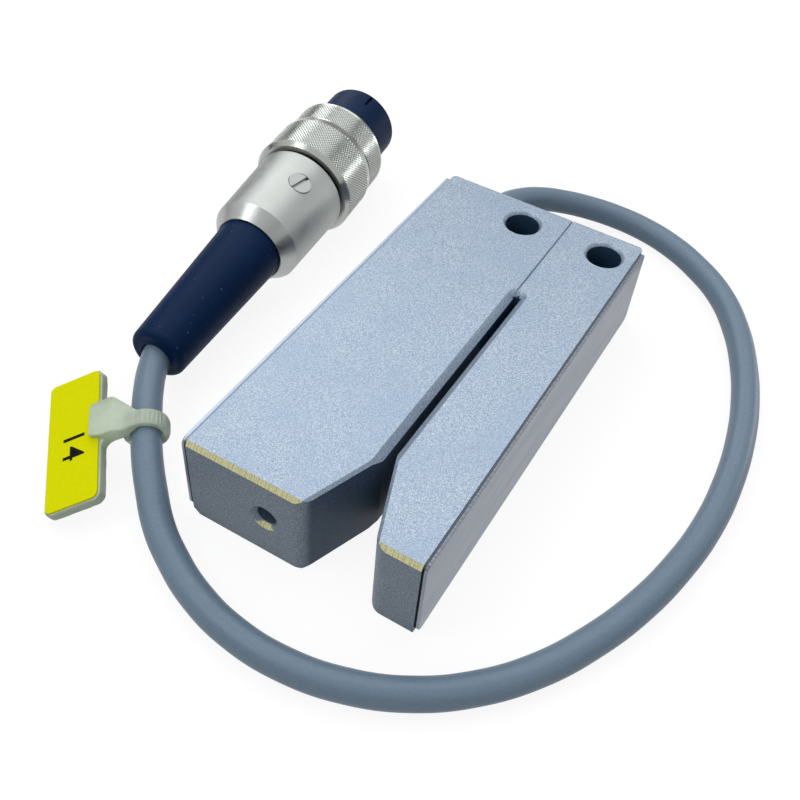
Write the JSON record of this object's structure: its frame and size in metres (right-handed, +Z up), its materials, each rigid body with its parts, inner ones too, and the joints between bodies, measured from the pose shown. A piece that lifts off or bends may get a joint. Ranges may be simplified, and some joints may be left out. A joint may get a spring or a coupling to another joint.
{
  "type": "fork sensor",
  "caption": "Two-armed metal fork sensor with a narrow sensing slot and flared mouth, mounting holes at the rear, and a cable with a marker tag and a round screw connector.",
  "frame": {"origin": "bottom centre of the two-armed housing, which lies on its wide face", "axes": "+X from the wide arm to the slim arm, +Y from the mouth to the cable end, +Z up"},
  "size_m": [0.0966, 0.1119, 0.0188],
  "materials": {
    "housing_metal": "bead blasted and clear anodised, fine sparkle",
    "cover_metal": "satin sheet",
    "seal_rubber": "matt",
    "screw_steel": "plain",
    "board_laminate": "solder mask",
    "chip_plastic": "moulded",
    "diode_metal": "drawn can",
    "window_glass": "polished",
    "lamp_lens": "clear moulded, unlit",
    "wire_insulation": "extruded",
    "terminal_plastic": "moulded",
    "cable_jacket": "smooth extruded jacket",
    "boot_rubber": "smooth matt",
    "nickel_plate": "satin nickel plate",
    "clamp_metal": "turned",
    "insert_plastic": "moulded",
    "contact_metal": "gold flash",
    "tie_nylon": "milky, translucent",
    "label_film": "smooth film"
  },
  "bodies": {
    "sensor": {"main_housing": "housing_metal", "slim_housing": "housing_metal", "main_cover": "cover_metal", "slim_cover": "cover_metal", "main_cover_seal": "seal_rubber", "slim_cover_seal": "seal_rubber", "arm_screws": "screw_steel", "receiver_board": "board_laminate", "emitter_board": "board_laminate", "receiver_diode": "diode_metal", "emitter_diode": "diode_metal", "receiver_window": "window_glass", "emitter_window": "window_glass", "signal_chips": "chip_plastic", "emitter_driver": "chip_plastic", "status_lamp": "lamp_lens", "link_wires": "wire_insulation", "lead_terminal": "terminal_plastic", "cable_leads": "wire_insulation", "cable_bush": "boot_rubber", "sensor_cable": "cable_jacket", "cable_boot": "boot_rubber", "cable_clamp": "clamp_metal", "connector_shell": "nickel_plate", "shell_screw": "nickel_plate", "ring_retainer": "screw_steel", "contact_insert": "insert_plastic", "contact_sleeves": "contact_metal", "marker_tie": "tie_nylon", "marker_label": "label_film"},
    "coupling_ring": {"coupling_ring": "nickel_plate"}
  },
  "joints": [
    {"name": "coupling_ring_turn", "type": "hinge", "parent": "sensor", "child": "coupling_ring", "pos_m": [-0.0403, 0.0232, 0.00915], "axis": [-0.0974, 0.9939, 0.0523], "continuous": true}
  ]
}
